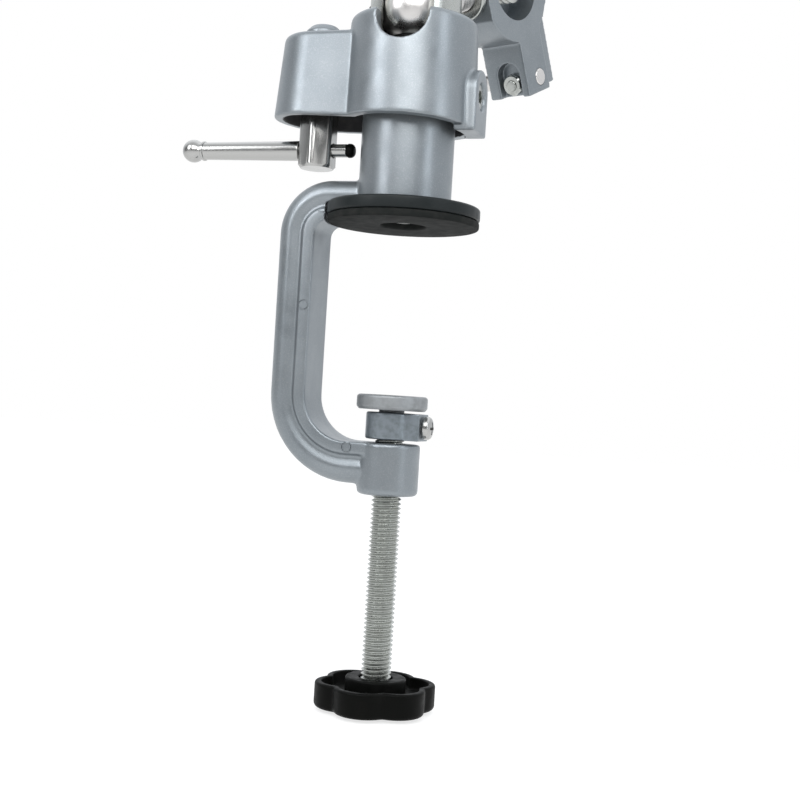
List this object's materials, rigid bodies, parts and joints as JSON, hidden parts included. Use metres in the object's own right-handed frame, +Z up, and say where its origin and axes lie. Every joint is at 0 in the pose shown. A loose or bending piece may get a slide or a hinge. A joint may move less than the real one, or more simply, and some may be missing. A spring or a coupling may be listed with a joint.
{
  "type": "pcb holder vise",
  "caption": "Small table-clamp vise for circuit boards: cast C-clamp, tommy-nut ball joint and a two-rod screw vise head with grooved jaw plates.",
  "frame": {"origin": "centre of the upper clamp pad's underside, on the clamp screw's axis, where the table top's surface is", "axes": "+Z up along the clamp screw, +X from the clamp's spine out over the table"},
  "size_m": [0.1152, 0.1183, 0.298],
  "materials": {
    "painted_casting": "silver-grey stoved paint on a casting, satin, slightly uneven",
    "bare_casting": "as-cast aluminium, satin",
    "grey_collar": "grey, satin",
    "black_plate": "black, satin",
    "black_rubber": "black, matt",
    "black_plastic": "black moulded plastic, satin",
    "zinc_steel": "bright zinc plate",
    "chrome_steel": "bright chrome plate",
    "polished_steel": "ground and polished steel",
    "jaw_steel": "ground steel jaw plate"
  },
  "bodies": {
    "frame": {"clamp_frame": "painted_casting", "pad_plate": "black_plate", "top_pad": "black_rubber", "pad_screw": "zinc_steel"},
    "clamp_disc": {"swivel_disc": "bare_casting"},
    "clamp_screw": {"clamp_screw": "zinc_steel", "star_knob": "black_plastic", "disc_collar": "grey_collar", "collar_screw": "chrome_steel"},
    "ball_housing": {"housing": "painted_casting", "retaining_ring": "zinc_steel", "seat_cup": "black_plastic", "clamp_yoke": "zinc_steel", "clamp_stud": "painted_casting", "pivot_screw": "zinc_steel"},
    "tommy_nut": {"tommy_nut": "chrome_steel", "tommy_bar": "chrome_steel", "bar_end_cap": "black_plastic"},
    "ball_stud": {"ball_stud": "polished_steel", "lock_nut": "zinc_steel"},
    "vise_head": {"vise_body": "painted_casting", "guide_rod_lower": "polished_steel", "guide_rod_upper": "polished_steel", "rod_clip_lower": "zinc_steel", "rod_clip_upper": "zinc_steel", "jaw_nut_lower": "zinc_steel", "jaw_nut_upper": "zinc_steel", "fixed_jaw_plate": "jaw_steel"},
    "moving_jaw": {"moving_jaw": "painted_casting", "moving_jaw_plate": "jaw_steel"},
    "spindle": {"spindle": "zinc_steel", "spindle_knob": "black_plastic"}
  },
  "joints": [
    {"name": "clamp_travel", "type": "slide", "parent": "frame", "child": "clamp_disc", "axis": [0, 0, 1], "range_m": [-0.0008, 0.054]},
    {"name": "clamp_screw_turn", "type": "hinge", "parent": "clamp_disc", "child": "clamp_screw", "pos_m": [0, 0, -0.1], "axis": [0, 0, 1], "range_deg": [-195, 12963]},
    {"name": "housing_swivel", "type": "hinge", "parent": "frame", "child": "ball_housing", "pos_m": [0, 0, 0.04], "axis": [0, 0, 1], "continuous": true},
    {"name": "tommy_turn", "type": "hinge", "parent": "ball_housing", "child": "tommy_nut", "pos_m": [-0.0318, 0, 0.025], "axis": [0, 0, 1], "range_deg": [-140, 140]},
    {"name": "ball_tilt", "type": "hinge", "parent": "ball_housing", "child": "ball_stud", "pos_m": [0, 0, 0.071], "axis": [0.9336, -0.3584, 0], "range_deg": [-23, 64]},
    {"name": "head_spin", "type": "hinge", "parent": "ball_stud", "child": "vise_head", "pos_m": [0, 0, 0.071], "axis": [0.3221, 0.8391, 0.4384], "continuous": true},
    {"name": "jaw_travel", "type": "slide", "parent": "vise_head", "child": "moving_jaw", "axis": [0.9336, -0.3584, 0], "range_m": [-0.0135, 0.0195]},
    {"name": "spindle_turn", "type": "hinge", "parent": "moving_jaw", "child": "spindle", "pos_m": [0.01578, 0.04112, 0.09248], "axis": [0.9336, -0.3584, 0], "range_deg": [-2431, 3511]}
  ],
  "couplings": [
    {"joint": "clamp_screw_turn", "follows": "clamp_travel", "rad_per_m": 4188.8},
    {"joint": "spindle_turn", "follows": "jaw_travel", "rad_per_m": 3141.6}
  ]
}
